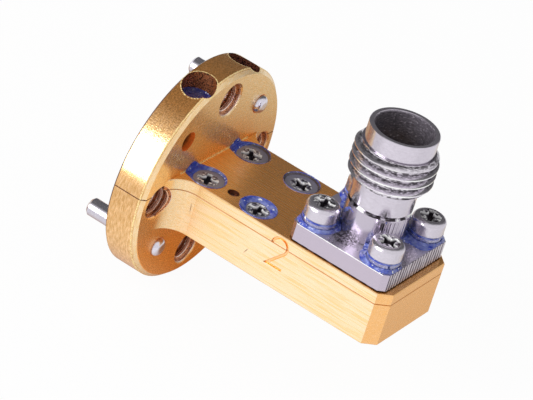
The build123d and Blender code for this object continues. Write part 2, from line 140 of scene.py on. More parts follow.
# The holes, which are alike on both sides. A row has the folded plane that a hole is seen on, its
# centre, the least and greatest distance from it, and the lowest and highest level.
folded = add(gold, "VectorMath", {0: place}, operation="ABSOLUTE")
folded_yz = add(gold, "VectorMath", {0: folded, 1: (0, 1, 1)}, operation="MULTIPLY")
folded_xy = add(gold, "VectorMath", {0: folded, 1: (1, 1, 0)}, operation="MULTIPLY")
taps = ((0, tap_circle, 0), (0, 0, tap_circle))
clamp = (clamp_x, clamp_y, 0)
any_level = (-20, 20)
masks = []
for holes in (
        # inside: the tapped holes and the counterbores
        [(folded_yz, tap, (0, 1.44), any_level) for tap in taps]
        + [(folded_xy, clamp, (0, 1.40), (5.9, 20))],
        # those for alignment, in painted shade deep down and painted light at their mouths
        [(folded_yz, (0, pin_offset, pin_offset), (0, 0.86), any_level)],
        # the counterbores' rims, for a painted highlight
        [(folded_xy, clamp, (1.385, 1.47), (7, 20))],
        # painted highlights on the crests of the tapped threads, and on their rims
        [(folded_yz, tap, ring, any_level) for ring in ((1.0, 1.19), (1.405, 1.45))
         for tap in taps],
        # sinks: the countersinks
        # the countersinks, painted dark grey as shade
        [(folded_xy, (x, screw_y, 0), (0, 1.53), (0.9, arm_top - 0.01))
         for x in (near_screw_x, far_screw_x)],
        # dowel_hole
        [(folded_xy, (dowel_x, dowel_y, 0), (0, 0.52), (0, arm_top - 0.02))]):
    mask = None
    for seen_on, centre, reaches, levels in holes:
        away = add(gold, "VectorMath", {0: seen_on, 1: Vector(centre) * MM}, operation="DISTANCE")
        within = [add(gold, "Math", {0: value, 1: (least + most) / 2 * MM,
                                     2: (most - least) / 2 * MM}, operation="COMPARE")
                  for value, (least, most) in ((away, reaches), (axes["Z"], levels))]
        hole = add(gold, "Math", {0: within[0], 1: within[1]}, operation="MULTIPLY")
        mask = add(gold, "Math", {0: hole, 1: mask}, operation="MAXIMUM") if mask else hole
    masks.append(mask)
inside, painted_hole_shading, painted_edge_highlight, painted_thread_glints, painted_countersink_shade, dowel_hole = masks

# Painted highlights: on the rims of the counterbores, the flange's shoulder, and the corner where
# the arm's top meets the flange.
on_rim = add(gold, "Math", {0: radius, 1: rim_inside * MM}, operation="GREATER_THAN")
shoulder = add(gold, "Math", {0: axes["X"], 1: shoulder_x * MM, 2: fine_line * MM},
               operation="COMPARE")
shoulder = add(gold, "Math", {0: shoulder, 1: on_rim}, operation="MULTIPLY")
painted_edge_highlight = add(gold, "Math", {0: painted_edge_highlight, 1: shoulder}, operation="MAXIMUM")
inner_corner = add(gold, "VectorMath", {0: place, 1: (1, 0, 1)}, operation="MULTIPLY")
inner_corner = add(gold, "VectorMath",
                   {0: inner_corner, 1: (flange_thickness * MM, 0, arm_top * MM)},
                   operation="DISTANCE")
inner_corner = add(gold, "Math", {0: inner_corner, 1: corner_highlight_reach * MM}, operation="LESS_THAN")
beside = add(gold, "SeparateXYZ", {0: folded}, output="Y")
beside = add(gold, "Math", {0: beside, 1: arm_width / 2 * MM}, operation="LESS_THAN")
inner_corner = add(gold, "Math", {0: inner_corner, 1: beside}, operation="MULTIPLY")
painted_highlight = add(gold, "Math", {0: inner_corner, 1: painted_edge_highlight}, operation="MAXIMUM")
painted_highlight = add(gold, "Math", {0: painted_highlight, 1: grain}, operation="MULTIPLY")
painted_highlight = add(gold, "MapRange", {"Value": painted_highlight, "From Min": 0.40, "From Max": 0.52})

# Painted reflection and shade: a deeper gold is painted where the block would mirror itself, in
# its wide corners, less so high up, and as painted shade low on the flange's inner face.
painted_reflection_and_shade = add(gold, "AmbientOcclusion", {"Distance": 6.0 * MM}, output="AO", samples=8,
             only_local=True)
painted_reflection_and_shade = add(gold, "MapRange", {"Value": painted_reflection_and_shade, "From Min": 0.35, "From Max": 0.88,
                                "To Min": 1.0, "To Max": 0.0})
upwards = add(gold, "MapRange", {"Value": axes["Z"], "From Min": 3.5 * MM, "From Max": 6.0 * MM,
                                 "To Min": 1.0, "To Max": 0.35})
painted_reflection_and_shade = add(gold, "Math", {0: painted_reflection_and_shade, 1: upwards}, operation="MULTIPLY")
painted_low_shade = add(gold, "MapRange", {"Value": axes["Z"], "From Min": -5.0 * MM,
                                   "From Max": -2.5 * MM, "To Min": 0.75, "To Max": 0.0})
on_inner_face = add(gold, "Math", {0: axes["X"], 1: flange_thickness * MM, 2: 0.05 * MM},
                    operation="COMPARE")
painted_low_shade = add(gold, "Math", {0: painted_low_shade, 1: on_inner_face}, operation="MULTIPLY")
painted_reflection_and_shade = add(gold, "Math", {0: painted_reflection_and_shade, 1: painted_low_shade}, operation="MAXIMUM")

# Dirt and painted shade: painted shade in narrow corners and half as much in the engraved figure,
# a dark line in the split, which is fainter on the arm, painted shade deep in the alignment holes
# with painted light at their mouths, painted shade in the dowel's hole, a dark mating edge and two
# scratches.
dirt_and_shade = add(gold, "AmbientOcclusion", {"Distance": 0.2 * MM}, output="AO", samples=8)
dirt_and_shade = add(gold, "MapRange", {"Value": dirt_and_shade, "From Min": 0.25, "From Max": 0.70,
                              "To Min": 0.9, "To Max": 0.0})
in_figure = add(gold, "MapRange", {"Value": axes["Y"], "To Min": 0.5,
                                   "From Min": (figure_reach[0] - arm_width / 2) * MM,
                                   "From Max": (figure_reach[1] - arm_width / 2) * MM})
dirt_and_shade = add(gold, "Math", {0: dirt_and_shade, 1: in_figure}, operation="MULTIPLY")
in_split = add(gold, "Math", {0: axes["Z"], 1: split_z * MM, 2: fine_line * MM},
               operation="COMPARE")
faint = add(gold, "MapRange", {"Value": on_arm, "To Min": 0.95, "To Max": 0.45})
split = add(gold, "Math", {0: in_split, 1: faint}, operation="MULTIPLY")
in_depth = add(gold, "MapRange", {"Value": axes["X"], "From Min": 2.25 * MM, "From Max": 2.6 * MM,
                                  "To Min": 0.9, "To Max": 0.05})
# Painted light at the mouths of the alignment holes, painted shade deeper in.
lit_holes = add(gold, "Math", {0: 1.0, 1: in_depth}, operation="SUBTRACT")
lit_holes = add(gold, "Math", {0: painted_hole_shading, 1: lit_holes}, operation="MULTIPLY")
painted_hole_shading = add(gold, "Math", {0: painted_hole_shading, 1: in_depth}, operation="MULTIPLY")
mating_edge = add(gold, "Math", {0: axes["X"], 1: 0.06 * MM, 2: 0.075 * MM}, operation="COMPARE")
mating_edge = add(gold, "Math", {0: mating_edge, 1: on_rim}, operation="MULTIPLY")
for mark in (split, painted_hole_shading, mating_edge, dowel_hole):
    dirt_and_shade = add(gold, "Math", {0: dirt_and_shade, 1: mark}, operation="MAXIMUM")
for x, z, length, lean in ((4.72, -0.37, 0.62, -85), (10.42, -1.06, 0.40, 62)):
    along = add(gold, "Mapping", {"Vector": place, "Location": (x * MM, 0, z * MM),
                                  "Rotation": (0, math.radians(-lean), 0)}, vector_type="TEXTURE")
    along = add(gold, "VectorMath", {0: along, 1: (scratch_width / length, 0, 1)},
                operation="MULTIPLY")
    off_line = add(gold, "VectorMath", {0: along}, operation="LENGTH")
    scratch = add(gold, "MapRange", {"Value": off_line, "From Max": scratch_width * MM,
                                     "To Min": 0.9, "To Max": 0.0})
    scratch = add(gold, "Math", {0: scratch, 1: on_arm}, operation="MULTIPLY")
    dirt_and_shade = add(gold, "Math", {0: dirt_and_shade, 1: scratch}, operation="MAXIMUM")

# Relief and gloss: the rim is cut coarser but polished, and gritty in its upper part. The tapped
# holes and the counterbores are rough inside.
coarser = add(gold, "MapRange", {"Value": on_rim, "To Min": 0.10, "To Max": 0.5})
lines_bump = add(gold, "Bump", {"Height": tool_lines, "Strength": coarser,
                                "Distance": 0.006 * MM})
gritty, rim_grain = [add(gold, "MapRange", {"Value": axes["Z"], "From Min": 1.5 * MM,
                                            "From Max": 5.0 * MM, "To Max": most})
                     for most in (1.0, 0.25)]
rim_grain = add(gold, "Math", {0: rim_grain, 1: on_rim}, operation="MULTIPLY")
deep_grain = add(gold, "MapRange", {"Value": inside, "To Min": 0.01, "To Max": 0.5})
deep_grain = add(gold, "Math", {0: deep_grain, 1: rim_grain}, operation="MAXIMUM")
grain_bump = add(gold, "Bump", {"Height": grain, "Strength": deep_grain, "Distance": 0.05 * MM,
                                "Normal": lines_bump})
roughness = add(gold, "MapRange", {"Value": tool_lines, "From Min": 0.3, "From Max": 0.7,
                                   "To Min": 0.22, "To Max": 0.32})
polished = add(gold, "MapRange", {"Value": on_rim, "To Min": 1.0, "To Max": 0.62})
roughness = add(gold, "Math", {0: roughness, 1: polished}, operation="MULTIPLY")
roughness = add(gold, "Mix", {0: inside, 2: roughness, 3: 0.26})
roughness = add(gold, "Mix", {0: in_split, 2: roughness, 3: 0.7})

# Where each tone lies: the arm's front has a painted sheen, paler towards its end, and is lined by
# the cutter; its top, its end and the rim get a deeper gold as painted reflection.
streaks = add(gold, "MapRange", {"Value": tool_lines, "From Min": 0.35, "From Max": 0.65})
front_and_painted_sheen = add(gold, "Math", {0: axes["Y"], 1: (0.02 - arm_width / 2) * MM},
               operation="LESS_THAN")
front_and_painted_sheen = add(gold, "Math", {0: front_and_painted_sheen, 1: on_arm}, operation="MULTIPLY")
cutter_lines = add(gold, "MapRange", {"Value": tool_lines, "From Min": 0.50, "From Max": 0.62,
                                      "To Max": 0.8})
cutter_lines = add(gold, "Math", {0: cutter_lines, 1: front_and_painted_sheen}, operation="MULTIPLY")
past_root = add(gold, "MapRange", {"Value": axes["X"], "From Min": 4.6 * MM,
                                   "From Max": 5.6 * MM})
cutter_lines = add(gold, "Math", {0: cutter_lines, 1: past_root}, operation="MULTIPLY")
# Painted sheen: the arm's front is paler towards its end.
painted_sheen = add(gold, "MapRange", {"Value": axes["X"], "From Min": 5 * MM, "From Max": 12 * MM,
                               "To Min": 0.05, "To Max": 0.4})
front_and_painted_sheen = add(gold, "Math", {0: front_and_painted_sheen, 1: painted_sheen}, operation="MULTIPLY")
grit = add(gold, "MapRange", {"Value": grain, "From Min": 0.44, "From Max": 0.58})
rim_streaks = add(gold, "Mix", {0: gritty, 2: streaks, 3: grit})
rim_streaks = add(gold, "Math", {0: rim_streaks, 1: on_rim}, operation="MULTIPLY")
rim_streaks = add(gold, "Math", {0: rim_streaks, 1: 0.6}, operation="MULTIPLY")
on_top = add(gold, "Math", {0: axes["Z"], 1: arm_top * MM, 2: flat * MM}, operation="COMPARE")
at_end = add(gold, "Math", {0: axes["X"], 1: end_face_x * MM}, operation="GREATER_THAN")
# Painted reflection: a deeper gold in the corners and over the arm's top, its end and the rim.
painted_deep_gold = painted_reflection_and_shade
for where, share in ((on_top, 0.55), (at_end, 0.65), (on_rim, 0.3)):
    share = add(gold, "Math", {0: where, 1: share}, operation="MULTIPLY")
    painted_deep_gold = add(gold, "Math", {0: painted_deep_gold, 1: share}, operation="MAXIMUM")
rough_cut = add(gold, "MapRange", {"Value": grain, "From Min": 0.48, "From Max": 0.60})

# Each tone, first of the plating as it mirrors the room, then of its deep, matt darks. Some are
# painted light: the rich tone is painted reflection, the pale one a painted sheen, the lit hole's
# painted light, the brown of corners partly painted shade, the bright edge and crest tones painted
# highlights, and the sink's grey painted shade.
gold_tones = {"light": ("FFF1CC", "F89A30"), "dark": ("FAE0A6", "F08C24"),
              "rich": ("FFC076", "FF9C22"), "pale": ("FFFCE8", "FFC478"),
              "cutter line": ("F4DCA0", "E8A440"), "lit hole": ("FFA860", "FF7A20"),
              "rim streak": ("B89050", "A06820"), "bore": ("DC9870", "A8602E"),
              "pit": ("5C3018", "401C0C"), "dirt_and_shade": ("7A4420", "4A200C"),
              "painted_highlight": ("FFEEB4", "FFE3A0"), "crest": ("FFE8DC", "D8A48C"),
              "sink": ("5A5258", "5A5258")}
tones = []
for side in (0, 1):
    shade = {name: linear(codes[side]) for name, codes in gold_tones.items()}
    tone = add(gold, "Mix", {0: streaks, 6: shade["light"], 7: shade["dark"]}, data_type="RGBA")
    bore = add(gold, "Mix", {0: rough_cut, 6: shade["bore"], 7: shade["pit"]}, data_type="RGBA")
    for where, colour in ((painted_deep_gold, shade["rich"]), (front_and_painted_sheen, shade["pale"]),
                          (cutter_lines, shade["cutter line"]), (lit_holes, shade["lit hole"]),
                          (rim_streaks, shade["rim streak"]), (inside, bore),
                          (dirt_and_shade, shade["dirt_and_shade"]), (painted_highlight, shade["painted_highlight"]),
                          (painted_thread_glints, shade["crest"]), (painted_countersink_shade, shade["sink"])):
        tone = add(gold, "Mix", {0: where, 6: tone, 7: colour}, data_type="RGBA")
    tones.append(tone)
plating = add(gold, "BsdfPrincipled", {"Base Color": tones[0], "Metallic": 1.0,
                                       "Roughness": roughness, "Normal": grain_bump})
deep = add(gold, "BsdfPrincipled", {"Base Color": tones[1], "Roughness": 0.6,
                                    "Normal": grain_bump})
# The deep gold's share follows the painted reflection and shade, and is higher under the painted
# highlights.
mirror_share = add(gold, "MapRange", {"Value": painted_reflection_and_shade, "To Min": 0.76, "To Max": 0.36})
matt = add(gold, "Math", {0: painted_highlight, 1: in_split}, operation="MAXIMUM")
matt = add(gold, "Math", {0: matt, 1: lit_holes}, operation="MAXIMUM")
mirror_share = add(gold, "Mix", {0: matt, 2: mirror_share, 3: 0.2})
both = add(gold, "MixShader", {0: mirror_share, 1: deep, 2: plating})
add(gold, "OutputMaterial", {"Surface": both})
wear(gold, "lower_body", "upper_cover")

# Plain round steel: two alignment pins pressed through the flange and two dowels between the
# halves. Hardened and ground, so smooth and grey, with painted shade where they meet the flange.
grinding_speck = 0.2
ground = blank("Ground hardened steel")
place = add(ground, "TexCoord", output="Object")
specks = add(ground, "TexNoise", {"Vector": place, "Scale": 1 / (grinding_speck * MM),
                                  "Detail": 3.0})
tone = add(ground, "Mix", {0: specks, 6: linear("F0ECF6"), 7: linear("D2CCDA")},
           data_type="RGBA")
dirt_and_shade = add(ground, "AmbientOcclusion", {"Distance": 0.4 * MM}, output="AO", samples=8)
dirt_and_shade = add(ground, "MapRange", {"Value": dirt_and_shade, "From Min": 0.4, "From Max": 0.8,
                                "To Min": 0.9, "To Max": 0.0})
tone = add(ground, "Mix", {0: dirt_and_shade, 6: tone, 7: linear("4A3C3A")}, data_type="RGBA")
surface = add(ground, "BsdfPrincipled", {"Base Color": tone, "Metallic": 0.95,
                                         "Roughness": 0.15})
add(ground, "OutputMaterial", {"Surface": surface})
wear(ground, "alignment_pins", "split_dowels")

# The screws and washers: stainless steel, headed and rolled, with a bright tumbled finish that
# mirrors in soft patches. Pan heads on split and plain washers hold the jack's flange,
# countersunk ones the cover, and two more sit deep in the counterbores.
half_pitch = 3.1007                     # of the pan heads from the jack's axis, each way
washer_top = 4.21
washer_seams = (washer_top - 0.45, washer_top)
seam_half = 0.035                       # half the height of the dark line at a seam
pan_top = washer_top + 1.32
sunk_top = 1.725
cross_reach = 0.90                      # radius within which a head has its cross recess
cross_middle, cross_half = 0.43, 0.41   # of the recess, down from the head's top
tumbled_speck = 0.12
glint_size = 0.28                             # size of the painted glints and dark patches on the heads' tops
shell_low, shell_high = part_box("connector_shell")
jack_x = (shell_low.x + shell_high.x) / 2 / MM
tumbled = blank("Tumbled stainless steel")
place = add(tumbled, "TexCoord", output="Object")
height = add(tumbled, "SeparateXYZ", {0: place}, output="Z")
specks = add(tumbled, "TexNoise", {"Vector": place, "Scale": 1 / (tumbled_speck * MM),
                                   "Detail": 3.0})
bump = add(tumbled, "Bump", {"Height": specks, "Strength": 0.6, "Distance": 0.02 * MM})
tone = add(tumbled, "Mix", {0: specks, 6: linear("E2DCE6"), 7: linear("CAC4D0")},
           data_type="RGBA")

# The cross recesses, with painted highlights on flanks and painted shade in pits, and the heads'
# flat tops.
parts = []
for middle, apart, head_top in (
        ((jack_x, 0), (half_pitch, half_pitch), pan_top),
        (((near_screw_x + far_screw_x) / 2, 0), ((far_screw_x - near_screw_x) / 2, screw_y),
         sunk_top)):
    folded = add(tumbled, "VectorMath", {0: place, 1: Vector((*middle, 0)) * MM},
                 operation="SUBTRACT")
    folded = add(tumbled, "VectorMath", {0: folded}, operation="ABSOLUTE")
    folded = add(tumbled, "VectorMath", {0: folded, 1: (1, 1, 0)}, operation="MULTIPLY")
    away = add(tumbled, "VectorMath", {0: folded, 1: Vector((*apart, 0)) * MM},
               operation="DISTANCE")
    away = add(tumbled, "Math", {0: away, 1: cross_reach * MM}, operation="LESS_THAN")
    sunk = add(tumbled, "Math", {0: height, 1: (head_top - cross_middle) * MM,
                                 2: cross_half * MM}, operation="COMPARE")
    sunk = add(tumbled, "Math", {0: sunk, 1: away}, operation="MULTIPLY")
    shaded = add(tumbled, "MapRange", {"Value": height, "From Min": (head_top - 0.28) * MM,
                                       "From Max": (head_top - 0.12) * MM,
                                       "To Min": 1.0, "To Max": 0.0})
    shaded = add(tumbled, "Math", {0: sunk, 1: shaded}, operation="MULTIPLY")
    on_head = add(tumbled, "Math", {0: height, 1: head_top * MM, 2: flat * MM},
                  operation="COMPARE")
    on_head = add(tumbled, "Math", {0: on_head, 1: away}, operation="MULTIPLY")
    parts.append((sunk, shaded, on_head))
recess, pit, head_top_middle = [add(tumbled, "Math", {0: pan, 1: countersunk}, operation="MAXIMUM")
                       for pan, countersunk in zip(*parts)]
painted_flank_highlight = add(tumbled, "Math", {0: recess, 1: pit}, operation="SUBTRACT")

# Painted reflections on the tops, round the cross: bright glints and dark patches.
glint_noise = add(tumbled, "TexNoise", {"Vector": place, "Scale": 1 / (glint_size * MM), "Detail": 2.0,
                                  "Roughness": 0.6})
painted_head_glints = add(tumbled, "MapRange", {"Value": glint_noise, "From Min": 0.55, "From Max": 0.58})
painted_head_glints = add(tumbled, "Math", {0: painted_head_glints, 1: head_top_middle}, operation="MULTIPLY")
painted_head_darks = add(tumbled, "MapRange", {"Value": glint_noise, "From Min": 0.42, "From Max": 0.46,
                                  "To Min": 1.0, "To Max": 0.0})
painted_head_darks = add(tumbled, "Math", {0: painted_head_darks, 1: head_top_middle}, operation="MULTIPLY")
painted_flank_highlight = add(tumbled, "Math", {0: painted_flank_highlight, 1: painted_head_glints}, operation="MAXIMUM")
pit = add(tumbled, "Math", {0: pit, 1: painted_head_darks}, operation="MAXIMUM")
recess = add(tumbled, "Math", {0: recess, 1: painted_head_glints}, operation="MAXIMUM")

# Dark lines where the washers and heads meet, and dull tops on the countersunk heads.
for seam_z in washer_seams:
    seam = add(tumbled, "Math", {0: height, 1: seam_z * MM, 2: seam_half * MM},
               operation="COMPARE")
    tone = add(tumbled, "Mix", {0: seam, 6: tone, 7: linear("2A2630")}, data_type="RGBA")
dull = add(tumbled, "Math", {0: height, 1: sunk_top * MM, 2: flat * MM}, operation="COMPARE")
# Dull sunk tops, then painted highlights on the recess flanks and painted shade in the pits.
for where, code in ((dull, "928E9C"), (painted_flank_highlight, "FFFFFF"), (pit, "3E3840")):
    tone = add(tumbled, "Mix", {0: where, 6: tone, 7: linear(code)}, data_type="RGBA")
metallic = add(tumbled, "Math", {0: recess, 1: dull}, operation="MAXIMUM")
metallic = add(tumbled, "MapRange", {"Value": metallic, "To Min": 0.92, "To Max": 0.4})
surface = add(tumbled, "BsdfPrincipled", {"Base Color": tone, "Metallic": metallic,
                                          "Roughness": 0.22, "Normal": bump})
add(tumbled, "OutputMaterial", {"Surface": surface})
wear(tumbled, "connector_screws", "spring_washers", "flat_washers", "cover_screws",
     "clamp_screws")

# The jack's base: its square flange and lower barrel, turned and milled from one piece of
# stainless steel, passivated to a pale lavender grey. The jack's shell wears the same metal.
plate_side = 9.2013
plate_top = 3.51
joint_z = shell_low.z / MM
mouth_z = shell_high.z / MM
mouth_radius = 2.385
mouth_depth = 3.2
barrel_height = 2.16
thread_length = 3.15
thread_start = joint_z + barrel_height
thread_end = thread_start + thread_length
crest = 3.45                            # radius of the thread's crests
core = 3.01                             # and of its grooves
pilot_radius = 2.85
saw_mark = 0.42                         # from one mark on the flange's end face to the next
turned_speck = 0.3
stain = 0.9
chatter_mark = 0.14                     # coarser than the real marks, to show at all
chatter_stretch = 1.4                   # mm of pattern to a radian, so marks run round
scuff_grit = 0.15
scuff_x, scuff_y = -0.5, -3.0           # from the jack's axis, on the square flange
notch_x, notch_y, notch_z = 1.67, -1.99, 5.55
notch_squash = 0.4                      # so the notch is 2.5 times as tall as wide
turned = blank("Turned stainless steel")
place = add(turned, "TexCoord", output="Object")
axes = add(turned, "SeparateXYZ", {0: place}).node.outputs
height = axes["Z"]
from_axis = add(turned, "VectorMath", {0: place, 1: (jack_x * MM, 0, 0)}, operation="SUBTRACT")
across = add(turned, "VectorMath", {0: from_axis, 1: (1, 1, 0)}, operation="MULTIPLY")
radius = add(turned, "VectorMath", {0: across}, operation="LENGTH")
plan = add(turned, "SeparateXYZ", {0: from_axis}).node.outputs
around = add(turned, "Math", {0: plan["Y"], 1: plan["X"]}, operation="ARCTAN2")
around = add(turned, "Math", {0: around, 1: chatter_stretch * MM}, operation="MULTIPLY")
along_turns = add(turned, "CombineXYZ", {"X": around, "Y": radius, "Z": height})
flattened = add(turned, "VectorMath", {0: place, 1: (1, 1, 2.5)}, operation="MULTIPLY")
specks, patches, chatter, grit = [
    add(turned, "TexNoise", {"Vector": where, "Scale": 1 / (size * MM), "Detail": detail})
    for where, size, detail in ((flattened, turned_speck, 3.0), (place, stain, 1.0),
                                (along_turns, chatter_mark, 3.0), (place, scuff_grit, 1.0))]

# Where things are: the thread, its crests, the mouth, the joint between base and shell, the end
# face of the square flange and its front edge.
on_thread = add(turned, "Math", {0: height, 1: (thread_start + thread_end) / 2 * MM,
                                 2: (thread_end - thread_start) / 2 * MM}, operation="COMPARE")
outside = add(turned, "Math", {0: radius, 1: (pilot_radius + 0.05) * MM},
              operation="GREATER_THAN")
thread = add(turned, "Math", {0: on_thread, 1: outside}, operation="MULTIPLY")
# A painted highlight along the thread's crests, broken up in patches.
painted_crest_line = add(turned, "Math", {0: radius, 1: (crest - 0.04) * MM}, operation="GREATER_THAN")
painted_crest_line = add(turned, "Math", {0: painted_crest_line, 1: on_thread}, operation="MULTIPLY")
crest_line_breaks = add(turned, "MapRange", {"Value": patches, "From Min": 0.35, "From Max": 0.6,
                                      "To Min": 0.1})
painted_crest_line = add(turned, "Math", {0: painted_crest_line, 1: crest_line_breaks}, operation="MULTIPLY")
narrow = add(turned, "Math", {0: radius, 1: (mouth_radius + 0.075) * MM}, operation="LESS_THAN")
high = add(turned, "Math", {0: height, 1: (mouth_z - mouth_depth - 0.05) * MM},
           operation="GREATER_THAN")
in_mouth = add(turned, "Math", {0: narrow, 1: high}, operation="MULTIPLY")
in_joint = add(turned, "Math", {0: height, 1: joint_z * MM, 2: 0.17 * MM}, operation="COMPARE")
on_side = add(turned, "Math", {0: axes["X"], 1: (jack_x + plate_side / 2 - 0.06) * MM},
              operation="GREATER_THAN")
# A painted highlight along the top front edge of the square flange.
painted_front_edge = add(turned, "Math", {0: height, 1: plate_top * MM, 2: 0.05 * MM},
                 operation="COMPARE")
at_front = add(turned, "Math", {0: axes["Y"], 1: (0.05 - plate_side / 2) * MM},
               operation="LESS_THAN")
painted_front_edge = add(turned, "Math", {0: painted_front_edge, 1: at_front}, operation="MULTIPLY")

# Dirt and painted shade: painted shade in corners but hardly at the foot, patchy darkening in the
# thread's grooves, a dark joint with painted highlights in places, a painted shadow under the
# flange, a dirty scuff on its top and a dark notch in the barrel.
dirt_and_shade = add(turned, "AmbientOcclusion", {"Distance": 0.3 * MM}, output="AO", samples=8)
dirt_and_shade = add(turned, "MapRange", {"Value": dirt_and_shade, "From Min": 0.2, "From Max": 0.8,
                                "To Min": 1.0, "To Max": 0.0})
off_foot = add(turned, "MapRange", {"Value": height, "From Min": 1.95 * MM,
                                    "From Max": 2.4 * MM, "To Min": 0.2})
dirt_and_shade = add(turned, "Math", {0: dirt_and_shade, 1: off_foot}, operation="MULTIPLY")
in_groove = add(turned, "MapRange", {"Value": radius, "From Min": (core + 0.11) * MM,
                                     "From Max": (crest - 0.04) * MM,
                                     "To Min": 1.0, "To Max": 0.0})
mottled = add(turned, "MapRange", {"Value": chatter, "From Min": 0.42, "From Max": 0.56,
                                   "To Min": 0.15, "To Max": 0.85})
for share in (mottled, on_thread, outside):
    in_groove = add(turned, "Math", {0: in_groove, 1: share}, operation="MULTIPLY")
stained = add(turned, "MapRange", {"Value": patches, "From Min": 0.46, "From Max": 0.52})
stain_line = add(turned, "Math", {0: in_joint, 1: stained}, operation="MULTIPLY")
painted_highlight = add(turned, "MapRange", {"Value": patches, "From Min": 0.38, "From Max": 0.41,
                                  "To Min": 1.0, "To Max": 0.0})
painted_joint_highlight = add(turned, "Math", {0: in_joint, 1: painted_highlight}, operation="MULTIPLY")
for mark in (in_groove, stain_line):
    dirt_and_shade = add(turned, "Math", {0: dirt_and_shade, 1: mark}, operation="MAXIMUM")
dirt_and_shade = add(turned, "Math", {0: dirt_and_shade, 1: painted_joint_highlight}, operation="SUBTRACT", use_clamp=True)
scuffed = add(turned, "VectorMath",
              {0: place, 1: Vector((jack_x + scuff_x, scuff_y, plate_top)) * MM},
              operation="DISTANCE")
scuffed = add(turned, "MapRange", {"Value": scuffed, "From Min": 0.7 * MM, "From Max": 1.3 * MM,
                                   "To Min": 0.9, "To Max": 0.0})
grit = add(turned, "MapRange", {"Value": grit, "From Min": 0.45, "From Max": 0.55})
scuffed = add(turned, "Math", {0: scuffed, 1: grit}, operation="MULTIPLY")
# A painted shadow under the square flange, broken in places.
painted_seat_shadow = add(turned, "Math", {0: height, 1: arm_top * MM, 2: 0.13 * MM}, operation="COMPARE")
broken = add(turned, "MapRange", {"Value": patches, "From Min": 0.40, "From Max": 0.46,
                                  "To Min": 0.5})
painted_seat_shadow = add(turned, "Math", {0: painted_seat_shadow, 1: broken}, operation="MULTIPLY")
notch = add(turned, "VectorMath", {0: place, 1: (1, 1, notch_squash)}, operation="MULTIPLY")
notch_place = Vector((jack_x + notch_x, notch_y, notch_z * notch_squash))
notch = add(turned, "VectorMath", {0: notch, 1: notch_place * MM}, operation="DISTANCE")
notch = add(turned, "MapRange", {"Value": notch, "From Min": 0.12 * MM, "From Max": 0.2 * MM,
                                 "To Min": 0.9, "To Max": 0.0})
for mark in (scuffed, painted_seat_shadow, notch):
    dirt_and_shade = add(turned, "Math", {0: dirt_and_shade, 1: mark}, operation="MAXIMUM")

# Saw marks across the flange's end face, a little wavy.
stroke = add(turned, "Math", {0: axes["Y"], 1: math.tau / (saw_mark * MM)}, operation="MULTIPLY")
wobble = add(turned, "MapRange", {"Value": patches, "To Min": -1.5, "To Max": 1.5})
stroke = add(turned, "Math", {0: stroke, 1: wobble}, operation="ADD")
stroke = add(turned, "Math", {0: stroke}, operation="COSINE")
stroke = add(turned, "MapRange", {"Value": stroke, "From Min": -0.3, "From Max": 0.3})
stroke = add(turned, "Math", {0: stroke, 1: on_side}, operation="MULTIPLY")

# Tones: the mouth is painted dark as shade, with pale flecks, and the base is duller than the
# shell.
tone = add(turned, "Mix", {0: specks, 6: linear("E0DAE6"), 7: linear("C8C0CC")},
           data_type="RGBA")
painted_mouth_shade = add(turned, "Mix", {0: specks, 6: linear("A098A4"), 7: linear("18121A")},
            data_type="RGBA")
flecks = add(turned, "MapRange", {"Value": chatter, "From Min": 0.57, "From Max": 0.68,
                                  "To Max": 0.5})
painted_mouth_shade = add(turned, "Mix", {0: flecks, 6: painted_mouth_shade, 7: linear("F4ECF8")}, data_type="RGBA")
on_base = add(turned, "Math", {0: height, 1: joint_z * MM}, operation="LESS_THAN")
on_flange = add(turned, "Math", {0: height, 1: plate_top * MM}, operation="LESS_THAN")
# Painted highlights: white patches in the joint and along the flange's front edge.
painted_whites = add(turned, "Math", {0: painted_joint_highlight, 1: painted_front_edge}, operation="MAXIMUM")
for where, colour in ((in_mouth, painted_mouth_shade), (on_base, linear("C4BCCA")),
                      (on_flange, linear("C6BBCA")), (on_side, linear("DCD6E0")),
                      (thread, linear("E8E2EC")), (painted_crest_line, linear("FFFFFF")),
                      (stroke, linear("6C6470")), (painted_whites, linear("FFFFFF")),
                      (dirt_and_shade, linear("383238"))):
    tone = add(turned, "Mix", {0: where, 6: tone, 7: colour}, data_type="RGBA")
bump = add(turned, "Bump", {"Height": specks, "Strength": 0.1, "Distance": 0.01 * MM})
on_top = add(turned, "Math", {0: height, 1: plate_top * MM, 2: flat * MM}, operation="COMPARE")
matt = add(turned, "Math", {0: on_top, 1: specks}, operation="MULTIPLY")
for mark in (on_side, in_mouth, painted_joint_highlight, painted_front_edge):
    matt = add(turned, "Math", {0: matt, 1: mark}, operation="MAXIMUM")
roughness = add(turned, "MapRange", {"Value": matt, "To Min": 0.16, "To Max": 0.45})
metallic = add(turned, "MapRange", {"Value": matt, "To Min": 0.92, "To Max": 0.55})
surface = add(turned, "BsdfPrincipled", {"Base Color": tone, "Metallic": metallic,
                                         "Roughness": roughness, "Normal": bump})
add(turned, "OutputMaterial", {"Surface": surface})
wear(turned, "connector_base")

# The jack's shell: upper barrel, coupling thread and plain pilot, turned from stainless steel
# and screwed on the base's spigot. Its thread is a true helix, right-handed.
thread_pitch = 0.75
thread_depth = crest - core
barrel_radius = 2.6
joint_break = 0.16
pilot_round = 0.05
mouth_break = 0.1
lip_thickness = 0.45
lip_radius = 1.5
spigot_radius = 1.9
crest_height = 9.84                     # of one crest's middle, straight along +X from the axis
turn_steps = 128
chamfer_steps = 6
sharp_angle = 35
reference_z = mouth_z - mouth_depth


